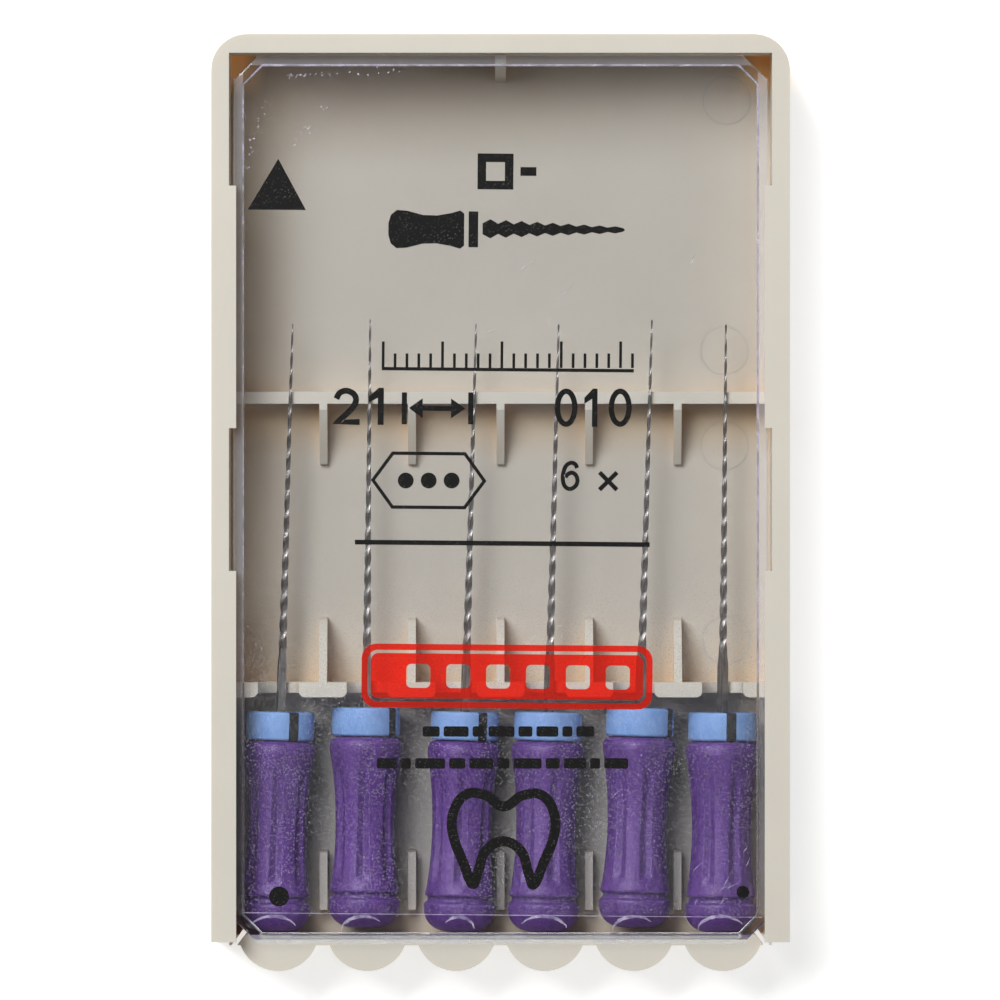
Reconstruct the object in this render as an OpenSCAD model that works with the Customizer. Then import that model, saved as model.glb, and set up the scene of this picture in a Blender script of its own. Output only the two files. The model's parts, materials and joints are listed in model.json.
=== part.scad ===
// Six-piece pack of hand-operated root canal files in a moulded tray with a clear sliding cover.
// The pack lies on its back: +Z is up out of the tray, +Y points from the handles to the file
// tips, and the origin is the centre of the underside.

/* [Tray] */
// Width across the two side rails
tray_w = 29; // [28.6:0.1:32]
// Length from the top rim to the scalloped bottom edge
tray_len = 47; // [46.9:0.1:50]
// Thickness of the whole pack
tray_h = 6.3; // [6.3:0.1:8]
// Thickness of the floor
floor_t = 0.8; // [0.5:0.05:0.8]
// Thickness of a side rail
rail_t = 0.9; // [0.7:0.05:0.95]
// How far a retaining lip stands in over the cover
lip_reach = 0.36; // [0.3:0.02:0.5]
// Thickness of a retaining lip
lip_t = 0.58; // [0.3:0.01:0.6]
// Radius of the two upper outer corners
corner_r = 1.8; // [0.6:0.1:2.5]

/* [Cover] */
// Width of the clear cover
cover_w = 26.8; // [26.6:0.05:27]
// Length of the clear cover
cover_len = 44.55; // [44:0.05:44.6]
// Thickness of the cover plate
cover_t = 0.7; // [0.4:0.05:0.7]
// Depth of the stiffening bead under the cover's edge
bead_h = 0.25; // [0.1:0.01:0.25]
// Cut-off at each corner of the cover
cover_chamfer = 1.25; // [0.6:0.05:1.6]

/* [Files] */
// Working length from the top of the handle to the tip
file_len = 21; // [19:0.5:21]
// Blade diameter at the tip
tip_d = 0.10; // [0.06:0.01:0.15]
// Growth of the blade's diameter per millimetre of length
taper = 0.02; // [0.02:0.005:0.02]
// Length of the twisted blade
blade_len = 16.5; // [14:0.5:16.5]
// Full turns of twist along the blade
blade_turns = 4; // [2:1:6]
// Side of the square shank
shank_a = 0.4; // [0.34:0.01:0.42]
// Length of the handle
handle_len = 9.6; // [9:0.05:9.6]
// Diameter of the handle's shoulder under the stop
shoulder_d = 3.64; // [3.5:0.02:3.66]
// Diameter of the handle's waist
waist_d = 2.96; // [2.8:0.02:3.2]
// Flutes around the handle
flutes = 7; // [5:1:9]

/* [Stops] */
// Diameter of the silicone stop
stop_d = 3.42; // [3:0.02:3.5]
// Height of the silicone stop
stop_h = 1.42; // [1:0.02:1.45]
// Width of the black direction mark across the stop
mark_w = 0.52; // [0.3:0.02:0.8]

/* [Hidden] */
$fn = 64;
eps = 0.01;
top_y = tray_len / 2;
rim_t = 0.95;                          // top rim
rail_end_y = top_y - 45.5;
inner_x = tray_w / 2 - rail_t;         // inner face of a rail
inner_top = top_y - rim_t;             // inner face of the top rim
end_wall_y = -22.2;                    // outer face of the bottom end wall
end_wall_t = 0.54;
rest_z = tray_h - 1.65;                // top of everything that the cover runs over
run = 0.05;                            // running clearance under the cover

// side lips: [lower end, upper end] along Y, with open windows between them
lips = [[rail_end_y, -3.4], [3.75, 15.9]];

// compartments
pitch = 4.46;
bays = [for (i = [-2.5:2.5]) i * pitch];
ribs = [for (i = [-2:2]) i * pitch];

// transverse wall under the blades, comb wall at the shanks
ledge_y = 5;
ledge_t = 0.6;
ledge_z = 2.5;
comb_y = -9.75;
comb_t = 0.75;
notch_w = 2.06;
notch_z = 2.35;
web_t = 0.55;                          // comb wall between its lobes
lobe_r = 0.3;
rib_w = 0.4;
rib_z = 1.65;
rib_span = [-20.5, -17.45];            // low ribs between the handles
ledge_gusset_y = 1.95;                 // where a gusset of the transverse wall runs out
comb_gusset_y = -5.74;                 // where a gusset of the comb wall runs out
rim_gusset = [0.55, 1.35];             // width and foot of the gusset at the top rim

// scallops of the bottom edge, and the slots at its two ends
scallop_r = 2.04;
slot_x = 13.29;
slot_y = -22.1;
slot_turn = 52;
slot_len = 1.5;
slot_w = 0.24;

// cover levels
bead_z = rest_z + run;
plate_z = bead_z + bead_h;
cover_top_y = inner_top - 0.1;
bead_w = 0.5;
front_bevel = 0.45;

// each file: [x at mid handle, shift along Y, lean to the right in degrees, roll about its axis]
files = [
    [-11.25, 0, 1.78, 13],
    [-6.82, 0.22, 0.6, 10],
    [-1.96, 0, 1.65, 13],
    [2.26, -0.02, 1.5, 30],
    [6.85, 0.2, 1.72, 32],
    [11.11, -0.04, 0.53, 39]
];
// direction of each stop's mark about the axis, 0 facing up, positive to the right
mark_turn = [25, 52, 33, 118, 63, 15];
axis_z = floor_t + shoulder_d / 2 + 0.08;
mid_y = -16.46;                        // where the x of a file is stated
handle_end_y = -21.55;

// handle outline, measured from its rounded end
cap_d = 3.58;
dome_r = 1.1;
ring_h = 1.6;                          // middle of the ring groove
ring_r = 0.2;
flare_d = 3.5;
waist_h = 5.1;
waist_half = 3.4;                      // half the length of the hollow waist
shoulder_r = 0.45;
waist_r = (waist_half ^ 2 + ((flare_d - waist_d) / 2) ^ 2) / (flare_d - waist_d);
flute_r = 0.32;
flute_depth = 0.13;
flute_half = 3;
stop_gap = 0.03;
stop_bore = 0.6;
tang_d = 0.66;
tang_len = 6;

// a plate in the YZ plane, centred on x
module yz_plate(x, t, points) {
    translate([x - t / 2, 0, 0])
        rotate([90, 0, 90])
            linear_extrude(t) polygon(points);
}

// a wall across the tray whose XZ outline is the child
module cross_wall(y, t) {
    translate([0, y + t, 0])
        rotate([90, 0, 0])
            linear_extrude(t) children();
}

// ---------------------------------------------------------------- tray

module tray_outline() {
    difference() {
        translate([-tray_w / 2, rail_end_y]) square([tray_w, top_y - rail_end_y]);
        for (s = [-1, 1])
            translate([s * (tray_w / 2 - corner_r), top_y - corner_r])
                difference() {
                    translate([s > 0 ? 0 : -corner_r - 1, 0]) square(corner_r + 1);
                    circle(corner_r);
                }
    }
}

module shell() {
    difference() {
        linear_extrude(tray_h) tray_outline();
        // the long inner space, open at the bottom end for the cover to slide out
        translate([-inner_x, rail_end_y - 1, floor_t])
            cube([2 * inner_x, inner_top - rail_end_y + 1, tray_h]);
    }
}

module lip(side, span) {
    translate([side > 0 ? inner_x - lip_reach : -inner_x - eps, span[0], tray_h - lip_t])
        cube([lip_reach + eps, span[1] - span[0], lip_t]);
}

// U-shaped notches in the thin web of the comb wall
module comb_profile() {
    difference() {
        translate([-inner_x - eps, floor_t - eps])
            square([2 * inner_x + 2 * eps, rest_z - floor_t + eps]);
        for (x = bays)
            translate([x, notch_z + notch_w / 2]) {
                circle(d = notch_w);
                translate([-notch_w / 2, 0]) square([notch_w, rest_z]);
            }
    }
}

// a bar in plan with rounded corners
module rounded_bar(w, t, r) {
    square([w - 2 * r, t], center = true);
    square([w, t - 2 * r], center = true);
    for (sx = [-1, 1], sy = [-1, 1])
        translate([sx * (w / 2 - r), sy * (t / 2 - r)]) circle(r);
}

// thicker lobes between the notches, the outermost two running into the rails
module lobes() {
    edge_w = inner_x + lobe_r - bays[5] - notch_w / 2;
    translate([0, comb_y + comb_t / 2, floor_t - eps])
        linear_extrude(rest_z - floor_t + eps) {
            for (x = ribs)
                translate([x, 0]) rounded_bar(pitch - notch_w, comb_t, lobe_r);
            for (s = [-1, 1])
                translate([s * (inner_x + lobe_r - edge_w / 2), 0])
                    rounded_bar(edge_w, comb_t, lobe_r);
        }
}

module end_wall() {
    linear_extrude(rest_z) {
        translate([-inner_x - eps, end_wall_y])
            square([2 * inner_x + 2 * eps, end_wall_t]);
        intersection() {
            for (x = bays)
                translate([x, -top_y + scallop_r]) circle(scallop_r);
            translate([-tray_w / 2, -top_y - 1])
                square([tray_w, end_wall_y + top_y + 1 + eps]);
        }
    }
    // the floor reaches to the end wall
    translate([-inner_x, end_wall_y, 0])
        cube([2 * inner_x, rail_end_y - end_wall_y + eps, floor_t]);
}

// relief slots that free the rail ends from the end wall
module corner_slots() {
    for (s = [-1, 1])
        translate([s * slot_x, slot_y, rest_z / 2])
            rotate([0, 0, s * -slot_turn])
                cube([slot_len, slot_w, rest_z + 2], center = true);
}

module tray() color("antiquewhite") difference() {
    union() {
        shell();
        for (s = [-1, 1], span = lips) lip(s, span);
        // transverse wall under the blades, with its gussets
        translate([-inner_x - eps, ledge_y, floor_t - eps])
            cube([2 * inner_x + 2 * eps, ledge_t, ledge_z - floor_t + eps]);
        for (x = ribs)
            yz_plate(x, rib_w, [
                [ledge_y + eps, floor_t - eps], [ledge_y + eps, ledge_z],
                [ledge_y - 0.3, ledge_z], [ledge_gusset_y, floor_t + 0.3],
                [ledge_gusset_y, floor_t - eps]
            ]);
        // comb wall that holds the shanks, with its gussets
        cross_wall(comb_y + comb_t - web_t, web_t) comb_profile();
        lobes();
        for (x = ribs)
            yz_plate(x, rib_w, [
                [comb_y + comb_t - eps, floor_t - eps], [comb_y + comb_t - eps, rest_z - 0.2],
                [comb_gusset_y - 0.16, rib_z], [comb_gusset_y, floor_t - eps]
            ]);
        // low ribs between the handles
        for (x = ribs)
            yz_plate(x, rib_w, [
                [rib_span[0], floor_t - eps], [rib_span[0], rib_z],
                [rib_span[1] - 0.15, rib_z], [rib_span[1], floor_t - eps]
            ]);
        // gusset at the middle of the top rim
        yz_plate(0, rim_gusset[0], [
            [inner_top + eps, floor_t - eps], [inner_top + eps, rest_z],
            [inner_top - 0.5, rest_z], [inner_top - rim_gusset[1], floor_t - eps]
        ]);
        end_wall();
    }
    corner_slots();
}

// ---------------------------------------------------------------- cover

module cover_outline(inset) {
    w = cover_w / 2 - inset;
    y1 = cover_top_y - inset;
    y0 = cover_top_y - cover_len + inset;
    c = cover_chamfer - inset * 0.586;
    polygon([
        [-w, y0 + c], [-w, y1 - c], [-w + c, y1], [w - c, y1],
        [w, y1 - c], [w, y0 + c], [w - c, y0], [-w + c, y0]
    ]);
}

module cover() color([0.8, 0.85, 0.9, 0.4]) difference() {
    union() {
        translate([0, 0, plate_z]) linear_extrude(cover_t) cover_outline(0);
        translate([0, 0, bead_z])
            linear_extrude(bead_h + eps)
                difference() {
                    cover_outline(0);
                    cover_outline(bead_w);
                }
    }
    // sloping front edge
    translate([0, cover_top_y - cover_len, plate_z + cover_t])
        rotate([45, 0, 0])
            cube([cover_w + 2, front_bevel * sqrt(2), front_bevel * sqrt(2)], center = true);
}

// ---------------------------------------------------------------- files

// puts a child drawn along +Z, from the end of the handle, into its place in the tray
module place(i, turn = 0) {
    translate([files[i][0], mid_y, axis_z])
        rotate([0, 0, -files[i][2]])
            translate([0, handle_end_y - mid_y + files[i][1], 0])
                rotate([-90, 0, 0])
                    rotate([0, 0, turn]) children();
}

// what a corner loses to a rounding, with the corner's arc centred on the origin
module corner_loss(r, up) {
    difference() {
        translate([0, up ? 0 : -r - 1]) square(r + 1);
        circle(r);
    }
}

module handle_profile() {
    difference() {
        union() {
            square([cap_d / 2, ring_h]);
            translate([0, ring_h - eps]) square([shoulder_d / 2, handle_len - ring_h + eps]);
        }
        // rounded end
        translate([cap_d / 2 - dome_r, dome_r]) corner_loss(dome_r, false);
        // ring groove
        translate([cap_d / 2 + 0.02, ring_h]) circle(ring_r);
        // waist
        translate([waist_d / 2 + waist_r, waist_h]) circle(waist_r, $fn = 256);
        // rounded shoulder
        translate([shoulder_d / 2 - shoulder_r, handle_len - shoulder_r])
            corner_loss(shoulder_r, true);
    }
}

// one shallow flute that follows the waist
module flute() {
    span = 2 * asin(flute_half / waist_r);
    translate([waist_d / 2 + waist_r, 0, waist_h])
        rotate([90, 0, 0])
            rotate([0, 0, 180 - span / 2])
                rotate_extrude(angle = span, $fn = 256)
                    translate([waist_r - flute_r + flute_depth, 0]) circle(flute_r, $fn = 32);
}

module handle(i) color([0.44, 0.3, 0.6]) place(i, files[i][3]) difference() {
    rotate_extrude() handle_profile();
    for (k = [0:flutes - 1])
        rotate([0, 0, k * 360 / flutes]) flute();
    // bore for the shaft's tang
    translate([0, 0, handle_len - tang_len]) cylinder(d = tang_d, h = tang_len + 1);
}

// a square bar between two heights, with its own side at each end
module square_bar(a0, a1, h) {
    linear_extrude(h, scale = a1 / a0, segments = 4) square(a0, center = true);
}

module shaft(i) color("silver") place(i, files[i][3]) {
    blade_z = handle_len + file_len - blade_len;
    neck = 0.8;
    d_root = tip_d + taper * blade_len;
    a_root = d_root / sqrt(2);
    a_tip = tip_d / sqrt(2);
    translate([0, 0, handle_len - tang_len]) cylinder(d = tang_d, h = tang_len);
    translate([0, 0, handle_len - eps])
        linear_extrude(blade_z - neck - handle_len + eps) square(shank_a, center = true);
    translate([0, 0, blade_z - neck]) square_bar(shank_a, a_root, neck);
    translate([0, 0, blade_z])
        linear_extrude(blade_len - tip_d, twist = -360 * blade_turns,
                       scale = a_tip / a_root, slices = 14 * blade_turns, segments = 4)
            square(a_root, center = true);
    translate([0, 0, handle_len + file_len - tip_d])
        rotate([0, 0, 360 * blade_turns]) square_bar(a_tip, a_tip * 0.2, tip_d);
}

// ---------------------------------------------------------------- stops

module stop_disc() {
    difference() {
        cylinder(d = stop_d, h = stop_h);
        translate([0, 0, -1]) cylinder(d = stop_bore, h = stop_h + 2);
    }
}

// the direction mark runs from the bore to the rim on one side
module mark_zone() {
    translate([-mark_w / 2, -stop_d, -1]) cube([mark_w, stop_d - stop_bore / 2 - 0.15, stop_h + 2]);
}

module stop(i) color([0.5, 0.68, 0.92]) place(i, mark_turn[i])
    translate([0, 0, handle_len + stop_gap]) difference() {
        stop_disc();
        mark_zone();
    }

module stop_mark(i) color([0.08, 0.08, 0.08]) place(i, mark_turn[i])
    translate([0, 0, handle_len + stop_gap]) intersection() {
        stop_disc();
        mark_zone();
    }

tray();
cover();
handle(0);  // handle_1
handle(1);  // handle_2
handle(2);  // handle_3
handle(3);  // handle_4
handle(4);  // handle_5
handle(5);  // handle_6
shaft(0);  // shaft_1
shaft(1);  // shaft_2
shaft(2);  // shaft_3
shaft(3);  // shaft_4
shaft(4);  // shaft_5
shaft(5);  // shaft_6
stop(0);  // stop_1
stop(1);  // stop_2
stop(2);  // stop_3
stop(3);  // stop_4
stop(4);  // stop_5
stop(5);  // stop_6
stop_mark(0);  // stop_mark_1
stop_mark(1);  // stop_mark_2
stop_mark(2);  // stop_mark_3
stop_mark(3);  // stop_mark_4
stop_mark(4);  // stop_mark_5
stop_mark(5);  // stop_mark_6
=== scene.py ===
import json
import math
import random

import bmesh
import bpy
from mathutils import Matrix, Vector


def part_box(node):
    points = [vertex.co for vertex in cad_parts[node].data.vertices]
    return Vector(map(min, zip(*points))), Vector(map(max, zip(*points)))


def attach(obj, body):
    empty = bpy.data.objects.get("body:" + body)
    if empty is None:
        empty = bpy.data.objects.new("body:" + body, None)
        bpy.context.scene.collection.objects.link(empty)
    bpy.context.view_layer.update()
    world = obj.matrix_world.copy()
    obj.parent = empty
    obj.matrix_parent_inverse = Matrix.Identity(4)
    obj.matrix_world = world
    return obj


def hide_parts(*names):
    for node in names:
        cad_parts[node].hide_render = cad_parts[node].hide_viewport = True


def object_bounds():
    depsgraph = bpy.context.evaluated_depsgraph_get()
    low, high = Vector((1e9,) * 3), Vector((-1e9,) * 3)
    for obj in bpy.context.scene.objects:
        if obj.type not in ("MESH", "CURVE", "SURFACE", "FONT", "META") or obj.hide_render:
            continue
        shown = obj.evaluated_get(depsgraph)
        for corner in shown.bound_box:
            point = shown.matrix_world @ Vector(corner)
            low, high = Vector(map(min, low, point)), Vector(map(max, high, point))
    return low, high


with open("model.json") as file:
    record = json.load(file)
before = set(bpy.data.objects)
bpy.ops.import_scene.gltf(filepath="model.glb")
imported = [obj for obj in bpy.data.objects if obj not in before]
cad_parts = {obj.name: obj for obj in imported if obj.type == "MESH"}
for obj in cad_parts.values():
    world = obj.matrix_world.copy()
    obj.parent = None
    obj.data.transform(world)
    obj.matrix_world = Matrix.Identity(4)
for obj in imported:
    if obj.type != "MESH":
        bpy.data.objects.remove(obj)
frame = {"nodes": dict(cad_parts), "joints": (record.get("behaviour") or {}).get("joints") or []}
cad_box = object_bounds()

MM = 0.001
scene = bpy.context.scene
scene.view_settings.view_transform = "Standard"

nodes = frame["nodes"]
joints = {j["name"]: j for j in frame["joints"]}
FILES = range(1, 7)


def box_mm(node):
    """The lowest and highest corners of a node, in mm."""
    low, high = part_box(node)
    return low / MM, high / MM


COVER_LOW, COVER_HIGH = box_mm("cover")
PLATE_T = 0.7                  # thickness of the cover's plate
BEAD_W, BEAD_R = 0.5, 0.07     # width and edge radius of the bead under its rim
COVER_CHAMFER, FRONT_BEVEL = 1.25, 0.45

# places along the tray, in mm
FLOOR_Z = 0.8
LOW_WALL_Z = 2.4               # tops of the lowest walls
COMB_Y = -9.7                  # far face of the wall that holds the stops
FROST_END_Y = -20.75           # the cover is clear below this line

# where each zone of painted shade and painted glow on the tray's low floor starts and where it is full,
# in mm
END_WALL_SHADE_Y, END_WALL_SHADE_X = (16.8, 21.8), (11.0, -7.0)
LEFT_WALL_SHADE_X = (-9.8, -13.2)
BAY_SHADE_FAR_Y, BAY_SHADE_NEAR_Y = (COMB_Y, COMB_Y - 0.9), (-20.9, -19.6)
LEDGE_SHADOW_NEAR_Y, LEDGE_SHADOW_FAR_Y = (2.2, 4.3), (5.0, 4.6)
CORNER_GLOW_Y, CORNER_GLOW_X = (20.4, 21.6), (11.8, 13.0)

# the same for the frost on the cover
SPECKS_Y, SPECKS_SHARE = (-2.5, -8.0), 0.17
SIDE_BAND_Y, BAND_SHARE = (-12.0, -8.0), 0.13


# ---------------------------------------------------------------- camera and light

def aim(obj, target):
    obj.rotation_euler = (Vector(target) - obj.location).to_track_quat("-Z", "Y").to_euler()


def area_light(name, place, target, size, power, colour=(1, 1, 1)):
    data = bpy.data.lights.new(name, "AREA")
    data.shape = "SQUARE"
    data.size = size
    data.energy = power
    data.color = colour
    light = bpy.data.objects.new(name, data)
    light.location = place
    scene.collection.objects.link(light)
    aim(light, target)


FRAME_WIDTH = 0.05033          # what the frame shows across, at mid height of the pack
CAMERA_UP = 0.7
CAMERA_SHIFT = (-0.000025, 0.000151)
MID_HEIGHT = 0.0028
camera_data = bpy.data.cameras.new("camera")
camera_data.sensor_width = 36
camera_data.lens = 36 * CAMERA_UP / FRAME_WIDTH
camera_data.clip_start = 0.01
camera_data.clip_end = 10
camera = bpy.data.objects.new("camera", camera_data)
middle = (cad_box[0] + cad_box[1]) / 2
camera.location = (middle.x + CAMERA_SHIFT[0], middle.y + CAMERA_SHIFT[1], MID_HEIGHT + CAMERA_UP)
scene.collection.objects.link(camera)
scene.camera = camera

world = bpy.data.worlds.new("studio")
scene.world = world
world.use_nodes = True
background = world.node_tree.nodes["Background"]
background.inputs["Color"].default_value = (0.96, 0.98, 1.0, 1)
background.inputs["Strength"].default_value = 0.1

area_light("key", (-0.2, 0.23, 0.44), (0, 0, 0), 0.3, 3.2, (1.0, 0.99, 0.975))
area_light("fill", (0.45, -0.1, 0.4), (0, 0, 0), 0.4, 0.38, (0.94, 0.97, 1.0))


# ---------------------------------------------------------------- materials

def srgb(r, g, b):
    """The linear colour of an 8-bit screen colour."""
    def linear(c):
        c /= 255
        return c / 12.92 if c <= 0.04045 else ((c + 0.055) / 1.055) ** 2.4
    return (linear(r), linear(g), linear(b), 1)


class Nodes:
    """Short names for making a material's node tree."""

    def __init__(self, name):
        self.material = bpy.data.materials.new(name)
        self.material.use_nodes = True
        self.tree = self.material.node_tree
        self.bsdf = self.tree.nodes["Principled BSDF"]
        self.output = self.tree.nodes["Material Output"]
        self.where = self.add("ShaderNodeTexCoord").outputs["Object"]

    def add(self, kind, **settings):
        node = self.tree.nodes.new(kind)
        for key, value in settings.items():
            setattr(node, key, value)
        return node

    def link(self, source, target):
        self.tree.links.new(source, target)

    def set(self, **values):
        """Sets sockets of the Principled shader; underscores stand for spaces."""
        for key, value in values.items():
            self.bsdf.inputs[key.replace("_", " ")].default_value = value

    def scaled(self, scale):
        node = self.add("ShaderNodeMapping")
        node.inputs["Scale"].default_value = scale
        self.link(self.where, node.inputs["Vector"])
        return node.outputs["Vector"]

    def noise(self, per_mm, detail=3.0, rough=0.5, vector=None):
        node = self.add("ShaderNodeTexNoise")
        node.inputs["Scale"].default_value = per_mm / MM
        node.inputs["Detail"].default_value = detail
        node.inputs["Roughness"].default_value = rough
        self.link(vector or self.where, node.inputs["Vector"])
        return node.outputs["Fac"]

    def cells(self, per_mm):
        node = self.add("ShaderNodeTexVoronoi")
        node.inputs["Scale"].default_value = per_mm / MM
        self.link(self.where, node.inputs["Vector"])
        return node.outputs["Distance"]

    def ramp(self, fac, stops):
        node = self.add("ShaderNodeValToRGB")
        elements = node.color_ramp.elements
        while len(elements) < len(stops):
            elements.new(0.5)
        for element, (position, colour) in zip(elements, stops):
            element.position = position
            element.color = colour if len(colour) == 4 else (*colour, 1)
        self.link(fac, node.inputs["Fac"])
        return node.outputs["Color"]

    def range(self, value, low, high, to_low=0.0, to_high=1.0):
        node = self.add("ShaderNodeMapRange")
        for key, number in (("From Min", low), ("From Max", high),
                            ("To Min", to_low), ("To Max", to_high)):
            node.inputs[key].default_value = number
        self.link(value, node.inputs["Value"])
        return node.outputs["Result"]

    def feed(self, socket, value):
        """Sets the socket to a number or colour, or links it."""
        if isinstance(value, (int, float, tuple)):
            socket.default_value = value
        elif value is not None:
            self.link(value, socket)

    def math(self, operation, a, b=None):
        node = self.add("ShaderNodeMath", operation=operation)
        self.feed(node.inputs[0], a)
        self.feed(node.inputs[1], b)
        return node.outputs["Value"]

    def mix(self, fac, a, b, blend="MIX"):
        node = self.add("ShaderNodeMix", data_type="RGBA", blend_type=blend)
        for index, value in ((0, fac), (6, a), (7, b)):
            self.feed(node.inputs[index], value)
        return node.outputs[2]

    def axes(self, vector):
        node = self.add("ShaderNodeSeparateXYZ")
        self.link(vector, node.inputs[0])
        return node.outputs["X"], node.outputs["Y"], node.outputs["Z"]

    def fade(self, axis, start_mm, end_mm, to_low=0.0, to_high=1.0):
        """Runs from to_low to to_high between two places along an axis."""
        return self.range(axis, start_mm * MM, end_mm * MM, to_low, to_high)

    def blend_shaders(self, fac, first, second):
        """Mixes two shaders and returns the mix."""
        node = self.add("ShaderNodeMixShader")
        for socket, source in zip(node.inputs, (fac, first, second)):
            self.link(source, socket)
        return node.outputs[0]

    def bump(self, height, strength, distance_mm):
        node = self.add("ShaderNodeBump")
        node.inputs["Strength"].default_value = strength
        node.inputs["Distance"].default_value = distance_mm * MM
        self.link(height, node.inputs["Height"])
        self.link(node.outputs["Normal"], self.bsdf.inputs["Normal"])

    def occlusion(self, distance_mm):
        node = self.add("ShaderNodeAmbientOcclusion")
        node.samples = 6
        node.only_local = True
        node.inputs["Distance"].default_value = distance_mm * MM
        return node.outputs["AO"]


def ivory_plastic():
    """Slightly translucent moulding. Its colour carries painted light and shade: a painted warm glow
    where its walls close in, painted shade that makes its low floor greyer, and zones of painted shade
    and glow on that floor.
    The zones go by place alone, so they also tint the foot of the outer walls."""
    m = Nodes("ivory_plastic")
    # painted light: by occlusion, a warm golden glow is painted where the walls close in, for light
    # coming through the translucent walls
    closed = m.ramp(m.occlusion(4.5), [
        (0.0, srgb(250, 196, 110)), (0.22, srgb(230, 204, 170)), (0.42, srgb(222, 212, 196)),
        (0.7, srgb(220, 213, 201)), (0.97, srgb(213, 208, 197)),
    ])
    cloudy = m.ramp(m.noise(0.16, 4, 0.55), [(0.3, (0.955, 0.955, 0.95)), (0.7, (1, 1, 1))])
    x, y, z = m.axes(m.where)
    # painted shade: the low floor under the cover (inside) is painted darker and greyer than the wall
    # tops and the parts beyond the cover (open_top)
    height = m.fade(z, FLOOR_Z + 0.1, LOW_WALL_Z)
    beyond_cover = m.fade(y, COVER_LOW.y, COVER_LOW.y - 0.3)
    open_top = m.math("MAXIMUM", height, beyond_cover)
    inside = m.math("SUBTRACT", 1.0, open_top)
    depth = m.ramp(open_top, [(0.0, (0.8, 0.785, 0.775)), (1.0, (1, 1, 1))])
    shade = m.mix(1.0, cloudy, depth, "MULTIPLY")
    tone = m.mix(1.0, closed, shade, "MULTIPLY")

    # zones of painted shade on the low floor: along the end wall and the left rail, between the handles,
    # and a painted shadow below the transverse wall; the two far corners get a painted warm glow
    end_wall_painted_shade = m.math("MULTIPLY", m.fade(y, *END_WALL_SHADE_Y), m.fade(x, *END_WALL_SHADE_X, 0.3, 1.0))
    left_wall_painted_shade = m.fade(x, *LEFT_WALL_SHADE_X)
    bay_painted_shade = m.math("MULTIPLY", m.fade(y, *BAY_SHADE_FAR_Y), m.fade(y, *BAY_SHADE_NEAR_Y))
    ledge_painted_shadow = m.math("MULTIPLY", m.fade(y, *LEDGE_SHADOW_NEAR_Y), m.fade(y, *LEDGE_SHADOW_FAR_Y))
    corner = m.math("MULTIPLY", m.fade(y, *CORNER_GLOW_Y), m.fade(m.math("ABSOLUTE", x), *CORNER_GLOW_X))
    # painted shade: each tint darkens the floor in its zone, where the rim, rails, handles and ledge
    # would shade it
    for amount, tint in ((end_wall_painted_shade, (0.66, 0.57, 0.47, 1)), (left_wall_painted_shade, (0.97, 0.87, 0.75, 1)),
                         (bay_painted_shade, (0.62, 0.63, 0.69, 1)), (ledge_painted_shadow, (0.88, 0.75, 0.58, 1))):
        tone = m.mix(m.math("MULTIPLY", amount, inside), tone, tint, "MULTIPLY")
    # painted light: a warm golden glow is painted into the two far corners, for light coming through the
    # translucent walls
    tone = m.mix(m.math("MULTIPLY", corner, inside), tone, srgb(255, 214, 150))
    m.link(tone, m.bsdf.inputs["Base Color"])
    m.link(m.range(m.noise(1.2, 2), 0.3, 0.7, 0.42, 0.56), m.bsdf.inputs["Roughness"])
    m.set(IOR=1.49, Subsurface_Weight=0.14, Subsurface_Radius=(0.001, 0.0007, 0.0004),
          Subsurface_Scale=1.0)
    m.bump(m.noise(7.0, 5, 0.6), 0.2, 0.02)
    return m.material


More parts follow.
